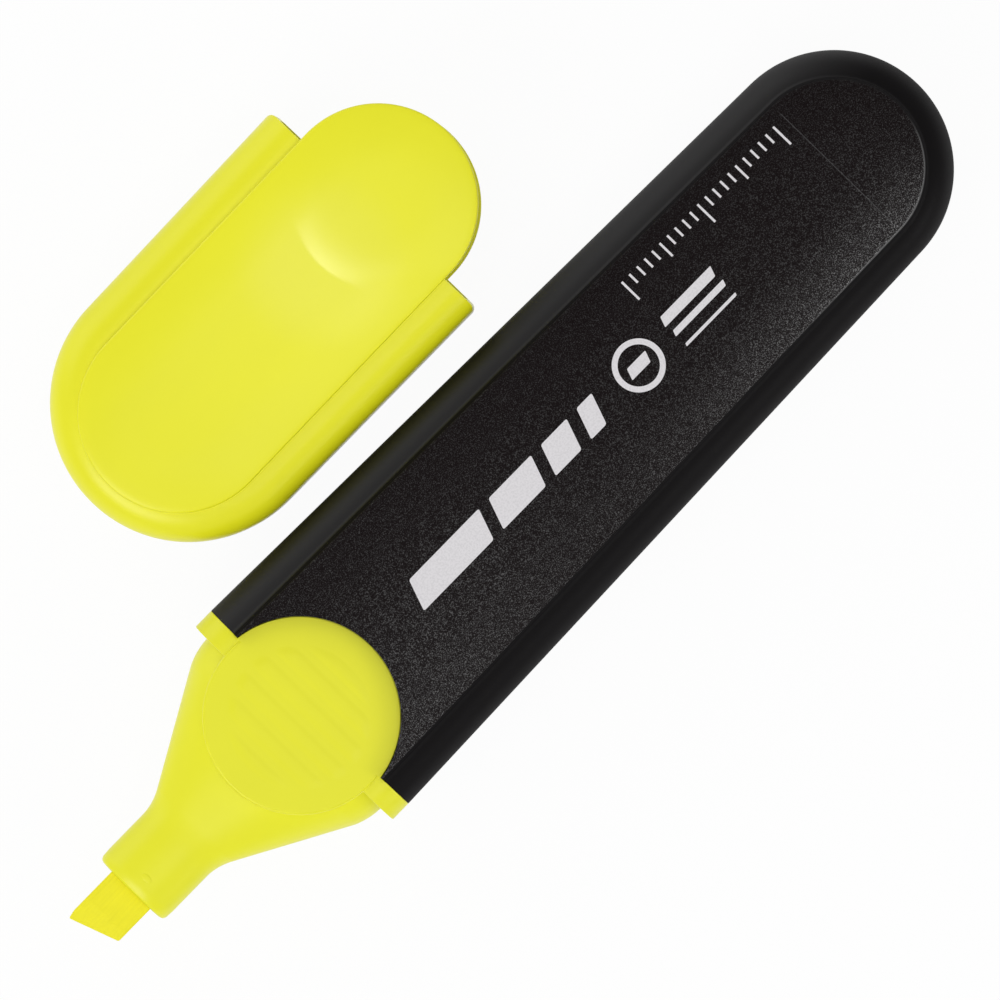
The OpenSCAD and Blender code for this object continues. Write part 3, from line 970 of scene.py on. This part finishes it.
def cap_rim_form(cap, barrel, inset, lead):
    """The rim as a solid, set in by an inset; it runs past the flaps by a lead or has their corners."""
    top = rim_height(barrel)
    centre_x = cap.tail_radius - cap.length
    radius = cap.tail_radius - inset
    spread = (cap.mouth_width / 2 - inset) / radius
    bm = rim_quarter(centre_x, radius, top - inset, barrel.rim_rounding - inset, 12)
    section = bm.edges[:]
    turned(bm, section, centre_x, math.pi / 2, 40)
    pulled(bm, section, (lead - centre_x, 0, 0), (1, spread, 1))
    mirrored(bm, "Z", "Y")
    tapered(bm, cap, top)
    if lead:
        return bm
    half_width = cap.mouth_width / 2
    plan = block((-cap.length - MM, -half_width, -top - MM), (0, half_width, top + MM))
    corners = [e for e in sharp_edges(plan, 60) if all(abs(v.co.x) < JOIN for v in e.verts)]
    upright = [e for e in corners if abs(e.verts[0].co.z - e.verts[1].co.z) > MM]
    rounded(plan, upright, cap.flap_corner, 5)
    return combined(bm, "INTERSECT", plan)


def cap_panel_form(cap, barrel, inset, edge):
    """One crowned panel, from its round tail to its tongue, bent at the knee."""
    bm = bmesh.new()
    top = PEN_THICKNESS / 2 - inset
    root = 2.4 * MM  # height over the middle plane where the form begins, inside the rim
    flat = 3.7 * MM  # half width of the flat strip
    radius = cap.tongue_radius - inset
    tail_x = cap.tail_band - cap.length + cap.tongue_radius
    fall_radius, sweep = crown_arc(barrel.panel_crown, radius - flat)
    pen = Section(bm, tail_x, 0, top)
    strokes = 8
    for i in range(strokes):
        pen.line(flat * (i + 1) / strokes, top)
    corner = pen.arc(flat, top - fall_radius, -sweep, 8)
    pen.line(radius, root)
    if edge:
        pen.round_corner(corner, edge)
    section = bm.edges[:]
    turned(bm, section, tail_x, math.pi / 2, 36)
    crease_x = -cap.dome_start - cap.dome_run
    x = tail_x
    for stop, steps in ((crease_x - 2 * MM, 24), (cap.tongue_reach, 60)):
        for _ in range(steps):
            section = pulled(bm, section, ((stop - x) / steps, 0, 0))
        x = stop
    turned(bm, section, cap.tongue_reach, -math.pi / 2, 36)
    mirrored(bm, "Y")
    for v in bm.verts:
        if v.co.z > root + JOIN:
            v.co.z -= panel_fall(cap, v.co.x, v.co.y)
    return bm


def cap_ribs(cap):
    """Ribs that hold the sealing cup, and the web in the tail that it stops against."""
    back, front = -29.7 * MM, -18.1 * MM
    half_width, half_height = 5.15 * MM, 4.25 * MM  # from the cap's axis to the ribs
    half_rib, half_spacing = 0.5 * MM, 2.1 * MM
    reach_y, reach_z = 14 * MM, 9 * MM  # into the cap's walls
    ribs = []
    for side in (-1, 1):
        ribs.append(block((back, side * half_width, -half_rib), (front, side * reach_y, half_rib)))
        low, high = side * half_height, side * reach_z
        for y in (-half_spacing, half_spacing):
            ribs.append(block((back, y - half_rib, low), (front, y + half_rib, high)))
    web = block((-cap.length, -half_rib, -reach_z), (back - 0.1 * MM, half_rib, reach_z))
    return combined(web, "UNION", *ribs)


def cap_shell(cap, barrel, front):
    """The hollow cap with its two tongues."""
    forms = []
    for inset, lead, edge in ((0, 0, cap.panel_edge), (cap.wall, MM, 0)):
        panels = both_sides(cap_panel_form(cap, barrel, inset, edge))
        forms.append(combined(cap_rim_form(cap, barrel, inset, lead), "UNION", panels))
    shell, cavity = forms
    cavity = combined(cavity, "DIFFERENCE", cap_ribs(cap))
    pocket_half, pocket_wall = front.pad_level + 0.15 * MM, 0.3 * MM
    pocket = drum(cap.tongue_radius - pocket_wall, -pocket_half, pocket_half, cap.tongue_reach)
    room_half = PEN_THICKNESS / 2 - cap.wall
    room = block((0, -CLEAR, -room_half), (CLEAR, CLEAR, room_half))
    return combined(shell, "DIFFERENCE", cavity, pocket, room)


# ---------------- stage


def lay_floor(colour):
    """A wide pale floor that shows as plain white and keeps a soft shadow."""
    half_size, drop = 4, 0.02 * MM
    bm = bmesh.new()
    bmesh.ops.create_grid(bm, x_segments=1, y_segments=1, size=half_size)
    moved(bm, bm.verts, (0, 0, -drop))
    floor = bpy.data.objects.new("floor", mesh_of(bm, "floor"))
    bpy.context.scene.collection.objects.link(floor)
    material = bpy.data.materials.new("pale_floor")
    nodes = Nodes(material)
    skin = {"Base Color": colour, "Roughness": 0.9, "Specular IOR Level": 0.0}
    matt = nodes.wire("ShaderNodeBsdfPrincipled", "BSDF", inputs=skin)
    light = {"Color": (1, 1, 1), "Strength": 1.0}
    glow = nodes.wire("ShaderNodeEmission", "Emission", inputs=light)
    rays = nodes.node("ShaderNodeLightPath").outputs
    kinds = ("Is Camera Ray", "Is Glossy Ray", "Is Transmission Ray")
    camera, glossy, through = (Wire(nodes, rays[kind]) for kind in kinds)
    seen = nodes.math("MAXIMUM", nodes.math("MAXIMUM", camera, glossy), through)
    share = 0.95  # of plain white where the floor is seen; the rest keeps its shadow
    mix = nodes.wire("ShaderNodeMixShader", "Shader", inputs={0: seen * share, 1: matt, 2: glow})
    nodes.node("ShaderNodeOutputMaterial", inputs={"Surface": mix})
    floor.data.materials.append(material)


def set_world(scene):
    """Even, pale surroundings, white where the camera sees them."""
    scene.world = bpy.data.worlds.new("studio")
    nodes = Nodes(scene.world)
    levels = {"Value": nodes.wire("ShaderNodeLightPath", "Is Camera Ray"), "To Min": 0.64, "To Max": 1.0}
    strength = {"Strength": nodes.wire("ShaderNodeMapRange", "Result", inputs=levels)}
    back = nodes.wire("ShaderNodeBackground", "Background", inputs=strength)
    nodes.node("ShaderNodeOutputWorld", inputs={"Surface": back})


def lamp_at(kind, name, aim, bearing, tilt, distance, power):
    """A lamp that looks at a place from a bearing and a tilt from overhead, both in degrees."""
    lamp = bpy.data.lights.new(name, kind)
    lamp.energy = power
    holder = bpy.data.objects.new(name, lamp)
    bearing, tilt = math.radians(bearing), math.radians(tilt)
    across, up = math.sin(tilt), math.cos(tilt)
    direction = Vector((math.cos(bearing) * across, math.sin(bearing) * across, up))
    holder.location = Vector(aim) + direction * distance
    holder.rotation_euler = direction.to_track_quat("Z", "Y").to_euler()
    bpy.context.scene.collection.objects.link(holder)
    return lamp


def hang_lamps(cap):
    """Soft boxes round the object, and a narrow spot that draws the shine on the cap."""
    boxes = (  # name, bearing, tilt, size and power
        ("top_box", -90, 12, (0.3, 0.3), 0.5),
        ("side_box", -75, 62, (0.35, 0.25), 0.95),
        ("far_box", 90, 68, (0.9, 0.6), 1.5),
        ("nib_box", 185, 46, (0.4, 0.3), 1.75),
    )
    distance = 0.8
    for name, bearing, tilt, (wide, tall), power in boxes:
        lamp = lamp_at("AREA", name, (0, 0, 0), bearing, tilt, distance, power)
        lamp.shape, lamp.size, lamp.size_y = "RECTANGLE", wide, tall
    crease = (-cap.rest_x - cap.dome_start - cap.dome_run, cap.rest_y, PEN_THICKNESS)
    glint = lamp_at("SPOT", "glint", crease, bearing=173, tilt=13.8, distance=distance, power=1.8)
    glint.spot_size, glint.spot_blend, glint.shadow_soft_size = math.radians(3), 0.8, 0.02


def place_camera(scene):
    """A camera straight above, turned so that the nib points to the lower left."""
    distance, seen_width = 0.9, 0.093
    middle, turn = (-14.32 * MM, 0.79 * MM), -45.7
    camera = bpy.data.cameras.new("camera")
    camera.sensor_width = 36
    camera.lens = camera.sensor_width / 2 / (seen_width / 2 / distance)
    camera.clip_start, camera.clip_end = 0.01, 10
    holder = bpy.data.objects.new("camera", camera)
    holder.location = (*middle, PEN_THICKNESS / 2 + distance)
    holder.rotation_euler = (0, 0, math.radians(turn))
    scene.collection.objects.link(holder)
    scene.camera = holder


# ---------------- operators


class HighlighterOperator:
    """What every step of the build shares."""

    bl_options = {"REGISTER", "UNDO"}


def groups(context):
    """The sizes of the barrel, of the front section and of the cap, and the colours."""
    return [getattr(context.scene, name) for name in GROUPS]


class HIGHLIGHTER_OT_stage(HighlighterOperator, bpy.types.Operator):
    """Lay the pale floor, set the lamps and place the camera"""

    bl_idname = "highlighter.stage"
    bl_label = "Stage"

    def execute(self, context):
        _, _, cap, colours = groups(context)
        context.scene.view_settings.view_transform = "Standard"
        lay_floor(colours.backdrop)
        set_world(context.scene)
        hang_lamps(cap)
        place_camera(context.scene)
        return {"FINISHED"}


class HIGHLIGHTER_OT_barrel(HighlighterOperator, bpy.types.Operator):
    """Build the black barrel"""

    bl_idname = "highlighter.barrel"
    bl_label = "Barrel"

    def execute(self, context):
        barrel, front, _, colours = groups(context)
        finish = barrel_finish(colours, barrel)
        add_piece("barrel_shell", barrel_shell(barrel, front), finish, "pen", ["barrel"])
        return {"FINISHED"}


class HIGHLIGHTER_OT_marks(HighlighterOperator, bpy.types.Operator):
    """Print plain marks on the upper panel"""

    bl_idname = "highlighter.marks"
    bl_label = "Printed marks"

    def execute(self, context):
        barrel, _, _, colours = groups(context)
        finish = print_finish(colours.print_white)
        for name, draw in (
            ("stroke_marks", draw_strokes),
            ("ring_mark", draw_ring),
            ("width_marks", draw_widths),
            ("ruler_marks", draw_ruler),
        ):
            bm = bmesh.new()
            draw(bm)
            mark = laid_on_panel(bm, barrel)
            add_piece(name, mark, finish, "pen", place=Matrix.Identity(4))
        return {"FINISHED"}


class HIGHLIGHTER_OT_front_section(HighlighterOperator, bpy.types.Operator):
    """Build the yellow front section"""

    bl_idname = "highlighter.front_section"
    bl_label = "Front section"

    def execute(self, context):
        barrel, front, _, colours = groups(context)
        finish = front_finish(colours.front_yellow, front)
        moulding = front_section(front, barrel)
        add_piece("front_moulding", moulding, finish, "pen", ["front_section"])
        return {"FINISHED"}


class HIGHLIGHTER_OT_nib(HighlighterOperator, bpy.types.Operator):
    """Build the chisel nib"""

    bl_idname = "highlighter.nib"
    bl_label = "Nib"

    def execute(self, context):
        _, front, _, colours = groups(context)
        finish = fibre_finish("nib_fibres", colours.nib_yellow)
        add_piece("chisel_nib", nib_bar(front), finish, "pen", ["nib"])
        return {"FINISHED"}


class HIGHLIGHTER_OT_cap(HighlighterOperator, bpy.types.Operator):
    """Build the cap"""

    bl_idname = "highlighter.cap"
    bl_label = "Cap"

    def execute(self, context):
        barrel, front, cap, colours = groups(context)
        finish = cap_finish(colours.cap_yellow, cap)
        shell = cap_shell(cap, barrel, front)
        add_piece("cap_shell", shell, finish, "cap", ["cap"], cap_place(cap))
        return {"FINISHED"}


class HIGHLIGHTER_OT_inner_parts(HighlighterOperator, bpy.types.Operator):
    """Give the reservoir and the sealing cup their finishes"""

    bl_idname = "highlighter.inner_parts"
    bl_label = "Inner parts"

    def execute(self, context):
        *_, colours = groups(context)
        finishes = {
            "reservoir_core": fibre_finish("reservoir_fibres", colours.nib_yellow),
            "reservoir_sleeve": plain_plastic("sleeve_film", (0.85, 0.85, 0.8), 0.3),
            "cap_seal": plain_plastic("seal_plastic", (0.82, 0.84, 0.46), 0.4),
        }
        for node, finish in finishes.items():
            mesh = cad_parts[node].data
            mesh.materials.clear()
            mesh.materials.append(finish)
        return {"FINISHED"}


STEPS = (
    HIGHLIGHTER_OT_stage,
    HIGHLIGHTER_OT_barrel,
    HIGHLIGHTER_OT_marks,
    HIGHLIGHTER_OT_front_section,
    HIGHLIGHTER_OT_nib,
    HIGHLIGHTER_OT_cap,
    HIGHLIGHTER_OT_inner_parts,
)


class HIGHLIGHTER_PT_build(bpy.types.Panel):
    """Sizes, colours and the steps of the build"""

    bl_label = "Flat highlighter"
    bl_space_type = "VIEW_3D"
    bl_region_type = "UI"
    bl_category = "Highlighter"

    def draw(self, context):
        for group in GROUPS:
            box = self.layout.box()
            values = getattr(context.scene, group)
            for name in values.__annotations__:
                box.prop(values, name)
        for step in STEPS:
            self.layout.operator(step.bl_idname)


GROUPS = {
    "highlighter_barrel": BarrelSizes,
    "highlighter_front": FrontSizes,
    "highlighter_cap": CapSizes,
    "highlighter_colours": Colours,
}


def register():
    """Adds the groups, the operators and the panel to Blender."""
    for kind in (*GROUPS.values(), *STEPS, HIGHLIGHTER_PT_build):
        bpy.utils.register_class(kind)
    for name, kind in GROUPS.items():
        setattr(bpy.types.Scene, name, bpy.props.PointerProperty(type=kind))


def unregister():
    """Takes them out again."""
    for name in GROUPS:
        delattr(bpy.types.Scene, name)
    for kind in (HIGHLIGHTER_PT_build, *reversed(STEPS), *GROUPS.values()):
        bpy.utils.unregister_class(kind)


def main():
    """Builds every piece in order."""
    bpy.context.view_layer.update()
    register()
    for step in STEPS:
        group, name = step.bl_idname.split(".")
        getattr(getattr(bpy.ops, group), name)()
    bpy.context.view_layer.update()


if __name__ == "__main__":
    main()
